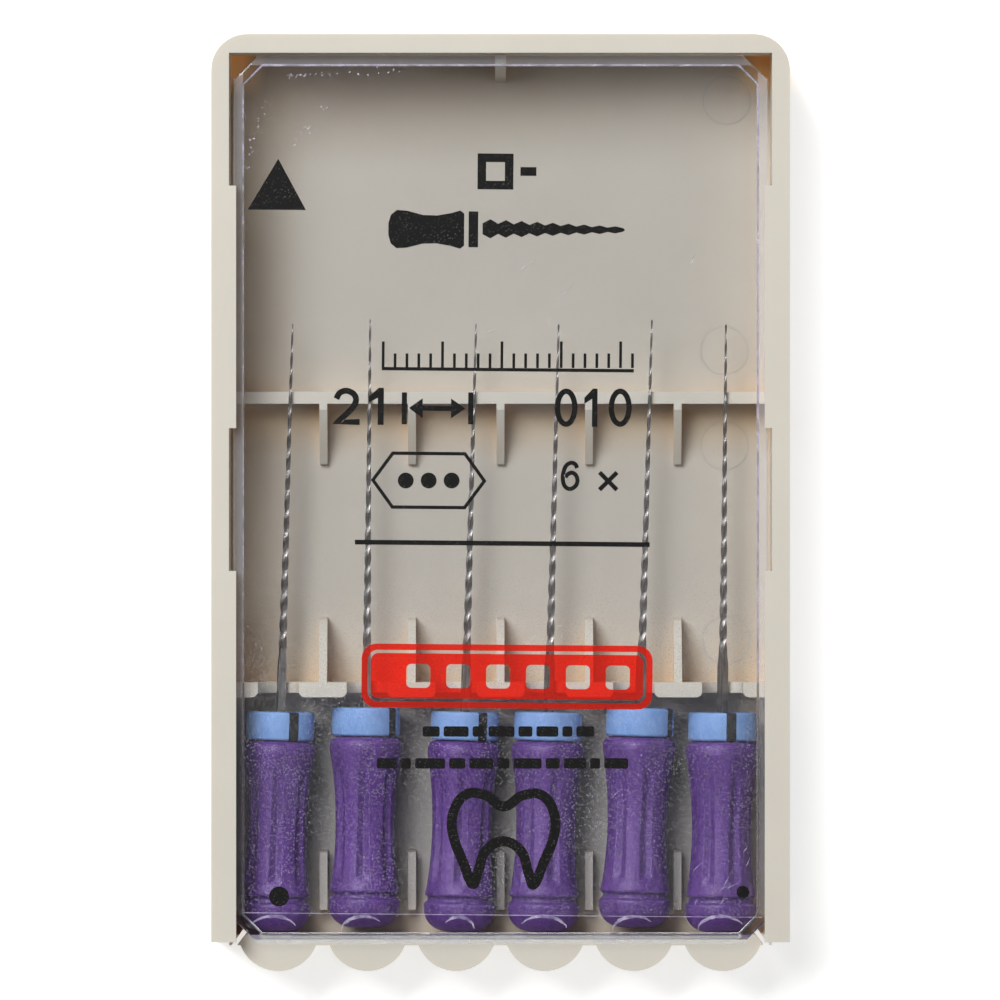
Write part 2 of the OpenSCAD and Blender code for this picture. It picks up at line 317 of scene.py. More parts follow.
def clear_plastic():
    """Clear moulded plastic with a fine frost over all but the strip at its front edge, and white frost
    on its front bevel and upright faces as painted reflection.
    """
    m = Nodes("clear_plastic")
    m.tree.nodes.remove(m.bsdf)
    glass = m.add("ShaderNodeBsdfGlass")
    glass.inputs["Color"].default_value = (0.985, 0.99, 1.0, 1)
    glass.inputs["Roughness"].default_value = 0.0
    glass.inputs["IOR"].default_value = 1.5
    clear = m.add("ShaderNodeBsdfTransparent")
    clear.inputs["Color"].default_value = (0.93, 0.935, 0.94, 1)
    path = m.add("ShaderNodeLightPath")
    passes = m.math("MAXIMUM", path.outputs["Is Shadow Ray"], path.outputs["Is Diffuse Ray"])
    body = m.blend_shaders(passes, glass.outputs[0], clear.outputs[0])
    frost = m.add("ShaderNodeBsdfDiffuse")
    frost.inputs["Color"].default_value = srgb(238, 238, 246)

    x, y, _ = m.axes(m.where)
    _, normal_y, normal_z = m.axes(m.add("ShaderNodeNewGeometry").outputs["Normal"])
    # on the top face: specks, a thin veil, and a milkier band over the bead
    specks = m.math("MULTIPLY", m.range(m.cells(7.5), 0.2, 0.34, 1.0, 0.0),
                    m.range(m.noise(0.35, 3), 0.4, 0.62, 0.4, 1.0))
    specks = m.math("MULTIPLY", specks, m.fade(y, *SPECKS_Y, 0.2, 1.0))
    specks = m.math("MULTIPLY", specks, SPECKS_SHARE)
    veil = m.range(m.noise(0.12, 4, 0.6), 0.35, 0.8, 0.0, 0.018)
    side_band = m.math("GREATER_THAN", m.math("ABSOLUTE", x), (COVER_HIGH.x - BEAD_W) * MM)
    side_band = m.math("MULTIPLY", side_band, m.fade(y, *SIDE_BAND_Y, 0.3, 1.0))
    end_band = m.math("GREATER_THAN", y, (COVER_HIGH.y - BEAD_W) * MM)
    band = m.math("MULTIPLY", m.math("MAXIMUM", side_band, end_band), BAND_SHARE)
    amount = m.math("ADD", specks, m.math("ADD", veil, band))
    amount = m.math("MULTIPLY", amount, m.fade(y, FROST_END_Y, FROST_END_Y + 0.2))
    amount = m.math("MULTIPLY", amount, m.math("GREATER_THAN", normal_z, 0.9))
    # on the front bevel and on the upright faces: white frost that paints in the bevel's reflection and
    # the edges' highlights
    bevel = m.math("MULTIPLY", m.math("LESS_THAN", normal_y, -0.5),
                   m.math("GREATER_THAN", normal_z, 0.4))
    painted_bevel_reflection = m.range(m.noise(0.5, 3), 0.35, 0.65, 0.1, 0.42)
    amount = m.math("ADD", amount, m.math("MULTIPLY", bevel, painted_bevel_reflection))
    upright = m.math("LESS_THAN", m.math("ABSOLUTE", normal_z), 0.35)
    amount = m.math("ADD", amount, m.math("MULTIPLY", upright, 0.14))
    amount = m.math("MULTIPLY", amount, m.math("SUBTRACT", 1.0, passes))
    m.link(m.blend_shaders(amount, body, frost.outputs[0]), m.output.inputs["Surface"])
    return m.material


def purple_plastic():
    """Pearly moulding, drawn out along the handle, with painted shade down in its flutes."""
    m = Nodes("purple_plastic")
    streaks = m.noise(1.0, 4, 0.6, m.scaled((1.6, 1.6, 0.35)))
    base = m.ramp(streaks, [(0.3, srgb(66, 28, 104)), (0.7, srgb(96, 54, 138))])
    pearl = m.ramp(m.noise(9.0, 2, 0.7), [(0.45, (0, 0, 0)), (0.62, (1, 1, 1))])
    skin = m.mix(m.math("MULTIPLY", pearl, 0.3), base, srgb(134, 98, 180))
    # painted shade: occlusion darkens the colour in the flutes and the ring groove
    painted_groove_shade = m.ramp(m.occlusion(0.6), [(0.4, srgb(78, 60, 92)), (0.9, (1, 1, 1))])
    m.link(m.mix(1.0, skin, painted_groove_shade, "MULTIPLY"), m.bsdf.inputs["Base Color"])
    m.link(m.range(m.noise(3.0, 3), 0.3, 0.7, 0.44, 0.58), m.bsdf.inputs["Roughness"])
    m.set(IOR=1.5, Specular_IOR_Level=0.4)
    m.bump(m.noise(5.0, 4, 0.6), 0.25, 0.02)
    return m.material


def stainless_steel():
    """Ground and twisted wire with fine marks along it."""
    m = Nodes("stainless_steel")
    along = m.noise(1.0, 4, 0.6, m.scaled((9, 9, 0.8)))
    m.link(m.ramp(along, [(0.25, srgb(84, 81, 80)), (0.75, srgb(146, 143, 141))]),
           m.bsdf.inputs["Base Color"])
    m.link(m.range(m.noise(4.0, 3), 0.3, 0.7, 0.38, 0.52), m.bsdf.inputs["Roughness"])
    m.set(Metallic=1.0)
    m.bump(m.noise(14.0, 3, 0.6), 0.2, 0.01)
    return m.material


def silicone(name, dark, light, rough):
    """Soft matt rubber, cloudy between two colours."""
    m = Nodes(name)
    m.link(m.ramp(m.noise(1.3, 4, 0.6), [(0.3, dark), (0.7, light)]), m.bsdf.inputs["Base Color"])
    m.link(m.range(m.noise(4.0, 3), 0.3, 0.7, rough - 0.06, rough + 0.08), m.bsdf.inputs["Roughness"])
    m.set(IOR=1.43, Subsurface_Weight=0.08, Subsurface_Radius=(0.0004, 0.0005, 0.0007),
          Subsurface_Scale=1.0)
    m.bump(m.noise(6.0, 4, 0.6), 0.2, 0.02)
    return m.material


def ink(name, dark, worn, cover, tint=(1, 1, 1, 1)):
    """Screen-printed ink with pinholes. Each face hides a share, cover, of what is behind it
    and tints the rest."""
    m = Nodes(name)
    pinholes = m.range(m.cells(7.5), 0.1, 0.3, 0.6, 0.0)
    thin = m.range(m.noise(1.1, 4, 0.65), 0.4, 0.66, 0.25, 1.0)
    wear = m.math("MULTIPLY", pinholes, thin)
    m.link(m.mix(wear, dark, worn), m.bsdf.inputs["Base Color"])
    m.link(m.range(m.noise(3.0, 3), 0.3, 0.7, 0.4, 0.6), m.bsdf.inputs["Roughness"])
    m.set(IOR=1.45, Specular_IOR_Level=0.2)
    clear = m.add("ShaderNodeBsdfTransparent")
    clear.inputs["Color"].default_value = tint
    hidden = m.math("SUBTRACT", cover, m.math("MULTIPLY", wear, 0.5))
    m.link(m.blend_shaders(hidden, clear.outputs[0], m.bsdf.outputs[0]), m.output.inputs["Surface"])
    return m.material


def pale_scuffs_and_painted_glints():
    """Pale marks on the clear cover: scuffs and moulding lines that catch the light, and also painted
    glints and painted highlight lines.
    """
    m = Nodes("pale_scuffs_and_painted_glints")
    m.link(m.ramp(m.noise(2.0, 3), [(0.3, srgb(188, 178, 216)), (0.7, srgb(232, 228, 242))]),
           m.bsdf.inputs["Base Color"])
    m.set(Roughness=0.35, IOR=1.5)
    clear = m.add("ShaderNodeBsdfTransparent")
    seen = m.range(m.noise(1.2, 4, 0.6), 0.32, 0.68, 0.03, 0.42)
    m.link(m.blend_shaders(seen, clear.outputs[0], m.bsdf.outputs[0]), m.output.inputs["Surface"])
    return m.material


IVORY = ivory_plastic()
CLEAR = clear_plastic()
PURPLE = purple_plastic()
STEEL = stainless_steel()
BLUE = silicone("blue_silicone", srgb(116, 156, 218), srgb(140, 178, 234), 0.5)
BLACK = silicone("black_silicone", srgb(7, 7, 9), srgb(20, 20, 24), 0.55)
BLACK_INK = ink("black_ink", srgb(14, 13, 14), srgb(120, 116, 110), 0.97)
RED_INK = ink("red_ink", srgb(250, 72, 56), srgb(246, 150, 130), 0.24, (1.0, 0.2, 0.16, 1))
PALE_SCUFFS_AND_PAINTED_GLINTS = pale_scuffs_and_painted_glints()


# ---------------------------------------------------------------- mesh helpers

def new_object(name, verts_mm, faces, material, smooth=False):
    """A mesh object from points in mm and faces."""
    mesh = bpy.data.meshes.new(name)
    mesh.from_pydata([tuple(c * MM for c in v) for v in verts_mm], [], faces)
    build = bmesh.new()
    build.from_mesh(mesh)
    bmesh.ops.recalc_face_normals(build, faces=build.faces)
    build.to_mesh(mesh)
    build.free()
    mesh.materials.append(material)
    for polygon in mesh.polygons:
        polygon.use_smooth = smooth
    obj = bpy.data.objects.new(name, mesh)
    scene.collection.objects.link(obj)
    return obj


def turns(count):
    """Even angles round a full circle."""
    return [2 * math.pi * i / count for i in range(count)]


def rings_to_faces(count, around):
    """Quads between closed rings of points; each ring has the same number of points."""
    faces = []
    for r in range(count - 1):
        for k in range(around):
            n = (k + 1) % around
            faces.append((r * around + k, r * around + n, (r + 1) * around + n, (r + 1) * around + k))
    return faces


def sharp_by_angle(obj, degrees):
    """Shades the surface smooth except across edges that turn by more than the angle."""
    build = bmesh.new()
    build.from_mesh(obj.data)
    for edge in build.edges:
        edge.smooth = len(edge.link_faces) == 2 and edge.calc_face_angle() < math.radians(degrees)
    for face in build.faces:
        face.smooth = True
    build.to_mesh(obj.data)
    build.free()


def finish_piece(obj, body, replaced=()):
    """Says what the piece rides on, and which CAD nodes it replaces."""
    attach(obj, body)
    if replaced:
        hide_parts(*replaced)


# ---------------------------------------------------------------- where each file lies

TIP_HALF, ROOT_HALF, SHANK_HALF = 0.05, 0.215, 0.283      # half diagonals of the square section
SHANK_LEN = 4.5


def file_frame(k):
    """Rotation and origin of file k: z runs along the file to its tip, y points down, x to the right.
    The origin is the middle of the handle's free end."""
    joint = joints[f"file_{k}_roll"]
    z = Vector(joint["axis"]).normalized()
    y = Vector((0, 0, -1))
    x = y.cross(z)
    point = Vector(joint["pos_m"])
    ends = [(v.co - point).dot(z) for v in nodes[f"handle_{k}"].data.vertices]
    matrix = Matrix((x, y, z)).transposed().to_4x4()
    matrix.translation = point + z * min(ends)
    return matrix, (max(ends) - min(ends)) / MM


def local_mm(node, matrix):
    """A node's points in the frame of a matrix, in mm."""
    back = matrix.inverted()
    return [(back @ v.co) / MM for v in nodes[node].data.vertices]


def corner_turn(k, matrix, handle_len):
    """How far the square shank's flats are rolled about the axis, in degrees."""
    corners = [p for p in local_mm(f"shaft_{k}", matrix)
               if abs(math.hypot(p.x, p.y) - SHANK_HALF) < 0.008 and p.z < handle_len + SHANK_LEN]
    angles = [math.degrees(math.atan2(p.y, p.x)) for p in corners]
    return (angles[0] - 45) % 90


def mark_direction(k, matrix):
    """Where the stop's mark points about the axis, in radians."""
    points = local_mm(f"stop_mark_{k}", matrix)
    return math.atan2(sum(p.y for p in points), sum(p.x for p in points))


# ---------------------------------------------------------------- handles

FLUTES = 7
CAP_R, DOME_R = 1.79, 1.1
RING_H, RING_HALF, RING_DEPTH = 1.6, 0.17, 0.17
WAIST_R, WAIST_H, WAIST_CURVE = 1.48, 5.1, 21.54
SHOULDER_R, SHOULDER_ROUND = 1.82, 0.45
CAP_TO_WAIST = (1.3, 2.3)      # where the cap's radius runs over into the waist's curve
FLUTE_FROM, FLUTE_TO, FLUTE_FADE = 2.15, 8.35, 0.75
# positions across one flute and its land, as shares of the flute's half width
FLUTE_STEPS = [-1.12, -1.0, -0.86, -0.62, -0.36, -0.12, 0.12, 0.36, 0.62, 0.86, 1.0, 1.12]
LAND_STEPS = 6


def ease_in_out(share):
    """A smooth step from 0 to 1."""
    share = max(0.0, min(1.0, share))
    return share * share * (3 - 2 * share)


def handle_radius(t, length):
    """Radius at height t above the handle's free end."""
    if t < DOME_R:
        r = CAP_R - DOME_R + math.sqrt(max(0.0, DOME_R ** 2 - (DOME_R - t) ** 2))
    else:
        swell = WAIST_R + WAIST_CURVE - math.sqrt(WAIST_CURVE ** 2 - (t - WAIST_H) ** 2)
        r = min(swell, SHOULDER_R)
        low, high = CAP_TO_WAIST
        if t < high:
            r = CAP_R + (r - CAP_R) * ease_in_out((t - low) / (high - low))
    edge = t - (length - SHOULDER_ROUND)
    if edge > 0:
        r = SHOULDER_R - SHOULDER_ROUND + math.sqrt(max(0.0, SHOULDER_ROUND ** 2 - edge ** 2))
    return r - RING_DEPTH * math.exp(-(((t - RING_H) / RING_HALF) ** 4))


def flute_shape(t):
    """(depth, half width) of the flutes at height t: both grow towards the flared end."""
    fade = ease_in_out(min((t - FLUTE_FROM) / FLUTE_FADE, (FLUTE_TO - t) / (FLUTE_FADE * 1.5)))
    low = (FLUTE_TO - t) / (FLUTE_TO - FLUTE_FROM)
    return (0.15 + 0.08 * low) * fade, 0.26 + 0.07 * low


def handle_heights(length):
    """Heights of the handle's rings: close together where the outline turns."""
    dome = [DOME_R * (1 - math.cos(math.radians(a))) for a in (0, 14, 26, 38, 50, 62, 74)]
    ring = [1.1, 1.25, 1.36, 1.41, 1.45, 1.5, 1.56, 1.64, 1.7, 1.75, 1.79, 1.84, 1.95]
    body = [2.1 + 0.1 * i for i in range(round((length - 0.55 - 2.1) / 0.1) + 1)]
    edge = [length - SHOULDER_ROUND + SHOULDER_ROUND * math.sin(math.radians(a))
            for a in (0, 15, 30, 45, 60, 75, 90)]
    heights = sorted(set(round(h, 4) for h in dome + ring + body + edge))
    return [h for i, h in enumerate(heights) if i == 0 or h - heights[i - 1] > 0.004]


def handle_mesh(length):
    """The handle as rings from its free end to its shoulder, with flutes round its waist."""
    period = 2 * math.pi / FLUTES
    verts = [(0, 0, 0)]
    heights = handle_heights(length)
    around = FLUTES * (len(FLUTE_STEPS) + LAND_STEPS)
    for t in heights:
        r = handle_radius(t, length)
        depth, half = flute_shape(t)
        for f in range(FLUTES):
            middle_angle = f * period
            half_angle = half / WAIST_R
            for u in FLUTE_STEPS:
                cut = depth * max(0.0, 1 - abs(u)) ** 0.75
                verts.append(((r - cut) * math.cos(middle_angle + u * half_angle),
                              (r - cut) * math.sin(middle_angle + u * half_angle), t))
            start = middle_angle + FLUTE_STEPS[-1] * half_angle
            end = middle_angle + period + FLUTE_STEPS[0] * half_angle
            for i in range(1, LAND_STEPS + 1):
                a = start + (end - start) * i / (LAND_STEPS + 1)
                verts.append((r * math.cos(a), r * math.sin(a), t))
    verts.append((0, 0, length))
    faces = [tuple(i + 1 for i in f) for f in rings_to_faces(len(heights), around)]
    last = 1 + (len(heights) - 1) * around
    for k in range(around):
        n = (k + 1) % around
        faces.append((0, 1 + n, 1 + k))
        faces.append((last + k, last + n, len(verts) - 1))
    return verts, faces


# ---------------------------------------------------------------- shafts

TANG_R, TANG_LEN = 0.33, 1.2
BLADE_LEN, NECK, BLADE_TURNS, BLADE_STEPS = 16.5, 0.8, 4, 176
SECTION = 16                   # points round a square section
TAPER_END = 0.1                # the blade's even taper stops this far from its tip
TIP_RINGS = ((0.04, 0.028), (0.0, 0.008))      # (distance from the tip, half diagonal)


def square_section(half_diagonal, hollow, turn, z):
    """Points of a square with eased corners and slightly hollow sides."""
    points = []
    for k in range(SECTION):
        share = (k % 4) / 4
        a = 2 * math.pi * k / SECTION
        side = half_diagonal * math.cos(math.pi / 4) / math.cos((share - 0.5) * math.pi / 2)
        r = side * (1 - hollow * math.sin(share * math.pi))
        if k % 4 == 0:
            r = half_diagonal * 0.985
        points.append((r * math.cos(a + turn), r * math.sin(a + turn), z))
    return points


def shaft_mesh(handle_len, file_len, flat_turn):
    """Round tang, square shank, short neck, and the blade twisted as it tapers."""
    phase = flat_turn + math.pi / 4
    start = handle_len + file_len - BLADE_LEN
    tang = [(TANG_R * math.cos(phase + a), TANG_R * math.sin(phase + a)) for a in turns(SECTION)]
    rings = [[(x, y, z) for x, y in tang] for z in (handle_len - TANG_LEN, handle_len - 0.005)]
    rings += [square_section(SHANK_HALF, 0.0, phase, z)
              for z in (handle_len, handle_len + 1.2, start - NECK)]
    for i in range(1, 9):
        s = i / 8
        ease = ease_in_out(s)
        half = SHANK_HALF + (ROOT_HALF - SHANK_HALF) * ease
        rings.append(square_section(half, 0.05 * ease, phase, start - NECK + NECK * s))
    for i in range(1, BLADE_STEPS + 1):
        s = i / BLADE_STEPS
        turn = 2 * math.pi * BLADE_TURNS * s
        half = ROOT_HALF + (TIP_HALF - ROOT_HALF) * s
        rings.append(square_section(half, 0.08, phase + turn, start + (BLADE_LEN - TAPER_END) * s))
    last_turn = phase + 2 * math.pi * BLADE_TURNS
    for back, half in TIP_RINGS:
        rings.append(square_section(half, 0.0, last_turn, start + BLADE_LEN - back))
    verts = [point for ring in rings for point in ring]
    faces = rings_to_faces(len(rings), SECTION)
    faces.append(tuple(reversed(range(SECTION))))
    faces.append(tuple(range(len(verts) - SECTION, len(verts))))
    return verts, faces


# ---------------------------------------------------------------- stops

STOP_R, STOP_BORE, MARK_HALF, STOP_EDGE = 1.71, 0.3, 0.26, 0.13


def stop_profile(height):
    """Closed outline in (radius, z): bore, lower face, rounded rim, upper face."""
    outline = [(STOP_BORE, 0), (STOP_R - STOP_EDGE, 0)]
    for a in (22, 45, 68, 90):
        outline.append((STOP_R - STOP_EDGE * (1 - math.sin(math.radians(a))),
                        STOP_EDGE * (1 - math.cos(math.radians(a)))))
    upper = [(r, height - z) for r, z in reversed(outline)]
    return outline + upper


def stop_part(height, mark, direction):
    """The disc without its mark, or the mark that fills the gap."""
    profile = stop_profile(height)
    steps = 6 if mark else 88
    verts = []
    for i in range(steps + 1):
        for r, z in profile:
            gap = math.asin(min(1.0, MARK_HALF / max(r, MARK_HALF * 1.01)))
            low, high = (-gap, gap) if mark else (gap, 2 * math.pi - gap)
            a = direction + low + (high - low) * i / steps
            verts.append((r * math.cos(a), r * math.sin(a), z))
    count = len(profile)
    faces = rings_to_faces(steps + 1, count)
    faces.append(tuple(range(count)))
    faces.append(tuple(reversed(range(steps * count, (steps + 1) * count))))
    return verts, faces


def lay_file(k):
    """Makes the four pieces of file k where its CAD nodes lie."""
    matrix, handle_len = file_frame(k)
    roll = math.radians(corner_turn(k, matrix, handle_len))
    along = [p.z for p in local_mm(f"shaft_{k}", matrix)]
    file_len = max(along) - handle_len

    handle = new_object(f"handle_{k}_fluted", *handle_mesh(handle_len), PURPLE, smooth=True)
    handle.matrix_world = matrix @ Matrix.Rotation(roll, 4, "Z")
    finish_piece(handle, f"file_{k}", [f"handle_{k}"])

    shaft = new_object(f"shaft_{k}_twisted", *shaft_mesh(handle_len, file_len, roll), STEEL)
    sharp_by_angle(shaft, 32)
    shaft.matrix_world = matrix
    finish_piece(shaft, f"file_{k}", [f"shaft_{k}"])

    heights = [p.z for p in local_mm(f"stop_{k}", matrix)]
    lift = Matrix.Translation((0, 0, min(heights) * MM))
    direction = mark_direction(k, matrix)
    for name, mark, material, slot in (("stop", False, BLUE, "blue_silicone"),
                                       ("stop_mark", True, BLACK, "black_silicone")):
        mesh = stop_part(max(heights) - min(heights), mark, direction)
        part = new_object(f"{name}_{k}_soft", *mesh, material)
        sharp_by_angle(part, 40)
        part.matrix_world = matrix @ lift
        finish_piece(part, f"stop_{k}", [f"{name}_{k}"])


for k in FILES:
    lay_file(k)


# ---------------------------------------------------------------- tray

tray = nodes["tray"]
tray.data.materials.clear()
tray.data.materials.append(IVORY)
weld = tray.modifiers.new("weld", "WELD")
weld.merge_threshold = 0.002 * MM
flatten = tray.modifiers.new("flatten", "DECIMATE")
flatten.decimate_type = "DISSOLVE"
flatten.angle_limit = math.radians(0.5)
ease = tray.modifiers.new("ease", "BEVEL")
ease.width = 0.11 * MM
ease.segments = 3
ease.limit_method = "ANGLE"
ease.angle_limit = math.radians(40)
ease.use_clamp_overlap = True
ease.harden_normals = False
even = tray.modifiers.new("even", "WEIGHTED_NORMAL")
even.keep_sharp = True

EJECTOR_RINGS = [(1.26, -0.02), (1.25, 0.01), (1.17, 0.012), (1.15, -0.02)]      # (radius, height)
EJECTOR_PLACES = [(11.4, 20.3), (11.3, 7.7), (11.3, 2.9), (11.4, -6.9)]
EJECTOR_STEPS = 48
for i, (x, y) in enumerate(EJECTOR_PLACES):
    verts = [(x + r * math.cos(a), y + r * math.sin(a), FLOOR_Z + z)
             for r, z in EJECTOR_RINGS for a in turns(EJECTOR_STEPS)]
    faces = [tuple(n % len(verts) for n in face)
             for face in rings_to_faces(len(EJECTOR_RINGS) + 1, EJECTOR_STEPS)]
    pin = new_object(f"ejector_mark_{i + 1}", verts, faces, IVORY)
    sharp_by_angle(pin, 35)
    finish_piece(pin, "tray")


# ---------------------------------------------------------------- cover

plate_top, plate_low, bead_low = COVER_HIGH.z, COVER_HIGH.z - PLATE_T, COVER_LOW.z


def cover_ring(inset, z, front=0.0):
    """The cover's octagon, set in by an amount, and by more along its front edge."""
    w = (COVER_HIGH.x - COVER_LOW.x) / 2 - inset
    top, low = COVER_HIGH.y - inset, COVER_LOW.y + inset
    c = COVER_CHAMFER - inset * (2 - math.sqrt(2))
    middle_x = (COVER_HIGH.x + COVER_LOW.x) / 2
    points = [(-w, low + c), (-w, top - c), (-w + c, top), (w - c, top), (w, top - c), (w, low + c),
              (w - c + front, low + front), (-w + c - front, low + front)]
    return [(middle_x + x, y, z) for x, y in points]


cover_rings = [
    cover_ring(0.09, plate_top, FRONT_BEVEL - 0.02),
    cover_ring(0.03, plate_top - 0.025, FRONT_BEVEL - 0.03),
    cover_ring(0.0, plate_top - 0.09, FRONT_BEVEL - 0.09),
    cover_ring(0.0, plate_top - FRONT_BEVEL),
    cover_ring(0.0, bead_low + BEAD_R), cover_ring(BEAD_R, bead_low),
    cover_ring(BEAD_W - BEAD_R, bead_low), cover_ring(BEAD_W, bead_low + BEAD_R),
    cover_ring(BEAD_W + 0.02, plate_low - 0.03), cover_ring(BEAD_W + 0.05, plate_low),
]
cover_verts = [v for ring in cover_rings for v in ring]
cover_faces = rings_to_faces(len(cover_rings), 8)
cover_faces.append(tuple(range(8)))
cover_faces.append(tuple(range(len(cover_verts) - 8, len(cover_verts))))
cover = new_object("cover_clear", cover_verts, cover_faces, CLEAR)
finish_piece(cover, "cover", ["cover"])


# ---------------------------------------------------------------- print on the cover

PRINT_T = 0.012
PRINT_TILT = math.radians(-0.5)      # the print sits slightly askew on the cover


def flat_print(name, loops, material, thickness=PRINT_T, tilt=PRINT_TILT):
    """A thin filled shape on the cover from closed loops in mm; an inner loop is a hole."""
    curve = bpy.data.curves.new(name, "CURVE")
    curve.dimensions = "2D"
    curve.fill_mode = "BOTH"
    curve.extrude = thickness / 2 * MM
    for loop in loops:
        spline = curve.splines.new("POLY")
        spline.points.add(len(loop) - 1)
        for point, (x, y) in zip(spline.points, loop):
            point.co = (x * MM, y * MM, 0, 1)
        spline.use_cyclic_u = True
    curve_to_piece(name, curve, material, thickness, tilt)


def curve_to_piece(name, curve, material, thickness, tilt):
    """The filled curve as a mesh on the cover, turned about its own centre."""
    holder = bpy.data.objects.new(name + "_outline", curve)
    scene.collection.objects.link(holder)
    bpy.context.view_layer.update()
    graph = bpy.context.evaluated_depsgraph_get()
    mesh = bpy.data.meshes.new_from_object(holder.evaluated_get(graph))
    bpy.data.objects.remove(holder)
    co = [v.co for v in mesh.vertices]
    low = Vector([min(c[i] for c in co) for i in range(3)])
    high = Vector([max(c[i] for c in co) for i in range(3)])
    centre = (low + high) / 2
    mesh.transform(Matrix.Translation(-centre))
    build = bmesh.new()
    build.from_mesh(mesh)
    bmesh.ops.remove_doubles(build, verts=build.verts, dist=0.0005 * MM)
    bmesh.ops.recalc_face_normals(build, faces=build.faces)
    build.to_mesh(mesh)
    build.free()
    mesh.materials.clear()
    mesh.materials.append(material)
    obj = bpy.data.objects.new(name, mesh)
    scene.collection.objects.link(obj)
    height = (plate_top + thickness / 2) * MM
    obj.matrix_world = Matrix.Translation((centre.x, centre.y, height)) @ Matrix.Rotation(tilt, 4, "Z")
    obj.visible_shadow = False
    finish_piece(obj, "cover")


def rectangle(x0, x1, y0, y1):
    return [(x0, y0), (x1, y0), (x1, y1), (x0, y1)]


def rounded(x0, x1, y0, y1, r, steps=6):
    """A rectangle with rounded corners."""
    loop = []
    corners = ((x1 - r, y1 - r, 0), (x0 + r, y1 - r, 90),
               (x0 + r, y0 + r, 180), (x1 - r, y0 + r, 270))
    for cx, cy, start in corners:
        for i in range(steps + 1):
            a = math.radians(start + 90 * i / steps)
            loop.append((cx + r * math.cos(a), cy + r * math.sin(a)))
    return loop


def disc(x, y, r, steps=28):
    return [(x + r * math.cos(a), y + r * math.sin(a)) for a in turns(steps)]


def segment_gap(p, a, b):
    """Distance from a point to the stretch between two points."""
    a, b = Vector(a), Vector(b)
    along = (b - a).length_squared
    share = max(0.0, min(1.0, (p - a).dot(b - a) / along)) if along else 0.0
    return (p - a.lerp(b, share)).length


def offset_loop(loop, amount):
    """The anticlockwise loop moved inwards by an amount, less the points that end up too close."""
    moved = []
    count = len(loop)
    for i in range(count):
        a, b, c = Vector(loop[i - 1]), Vector(loop[i]), Vector(loop[(i + 1) % count])
        n1 = Vector((-(b - a).y, (b - a).x)).normalized()
        n2 = Vector((-(c - b).y, (c - b).x)).normalized()
        n = (n1 + n2).normalized()
        moved.append(b + n * amount / max(0.35, n.dot(n1)))
    nearest = [min(segment_gap(p, loop[i - 1], loop[i]) for i in range(count)) for p in moved]
    return [tuple(p) for p, gap in zip(moved, nearest) if gap > 0.93 * abs(amount)]


def print_black(name, *loops):
    flat_print(name, loops, BLACK_INK)


def curve_between(four, steps):
    """Points of a smooth curve from the second of four points up to the third."""
    p0, p1, p2, p3 = (Vector(p) for p in four)
    return [tuple(0.5 * (2 * p1 + (p2 - p0) * t + (2 * p0 - 5 * p1 + 4 * p2 - p3) * t * t
                         + (3 * p1 - p0 - 3 * p2 + p3) * t ** 3))
            for t in (k / steps for k in range(steps))]


def smooth_line(points, steps=7):
    """An open curve through the points."""
    ends = [points[0]] + list(points) + [points[-1]]
    line = [p for i in range(len(points) - 1) for p in curve_between(ends[i:i + 4], steps)]
    return line + [tuple(points[-1])]


def smooth_loop(points, steps=6):
    """A closed curve through the points."""
    count = len(points)
    return [p for i in range(count)
            for p in curve_between([points[(i + d) % count] for d in (-1, 0, 1, 2)], steps)]


def stroke(line, width):
    """The outline of a line of even width with square ends."""
    left, right = [], []
    for i, point in enumerate(line):
        before = (Vector(point) - Vector(line[i - 1])).normalized() if i else None
        after = (Vector(line[i + 1]) - Vector(point)).normalized() if i < len(line) - 1 else None
        before, after = before or after, after or before
        n1, n2 = Vector((-before.y, before.x)), Vector((-after.y, after.x))
        n = (n1 + n2).normalized()
        reach = width / 2 / max(0.5, n.dot(n1))
        left.append((point[0] + n.x * reach, point[1] + n.y * reach))
        right.append((point[0] - n.x * reach, point[1] - n.y * reach))
    return left + list(reversed(right))


def figure(name, which, x0, x1, y0, y1, width):
    """One plain figure, drawn to fill its box."""
    h = width / 2
    w, t = x1 - x0, y1 - y0

    def at(u, v):
        return (x0 + h + u * (w - width), y0 + h + v * (t - width))

    if which == 0:
        oval = [at(0.5 + 0.5 * math.cos(a), 0.5 + 0.5 * math.sin(a)) for a in turns(40)]
        loops = [offset_loop(oval, -h), offset_loop(oval, h)]
    elif which == 1:
        loops = [[(x1 - width, y0), (x1, y0), (x1, y1), (x1 - width * 0.85, y1), (x0, y1 - t * 0.24),
                  (x0, y1 - t * 0.4), (x1 - width, y1 - t * 0.27)]]
    elif which == 2:
        arc = smooth_line([at(0.02, 0.74), at(0.18, 0.93), at(0.5, 1.0), at(0.84, 0.9), at(0.96, 0.7),
                           at(0.8, 0.46), at(0.42, 0.2), at(0.1, 0.0)])
        loops = [stroke(arc + [at(1.0, 0.0), (x1, y0 + h)], width)]
    else:
        spiral = smooth_line([at(0.95, 0.8), at(0.82, 0.95), at(0.52, 1.0), at(0.18, 0.86), at(0.0, 0.5),
                              at(0.06, 0.18), at(0.3, 0.01), at(0.6, 0.0), at(0.9, 0.14), at(0.98, 0.33),
                              at(0.86, 0.53), at(0.6, 0.62), at(0.34, 0.56), at(0.17, 0.44)])
        loops = [stroke(spiral, width)]
    print_black(name, *loops)


# arrow that shows which way the cover goes on
print_black("print_arrow", [(-12.66, 14.7), (-9.74, 14.7), (-11.15, 17.26)])

# square cross-section sign, and a file lying on its side
print_black("print_section", rectangle(-1.15, 0.65, 15.72, 17.52),
            rectangle(-0.72, 0.22, 16.15, 17.09))
print_black("print_section_dash", rectangle(1.0, 1.8, 16.4, 16.84))


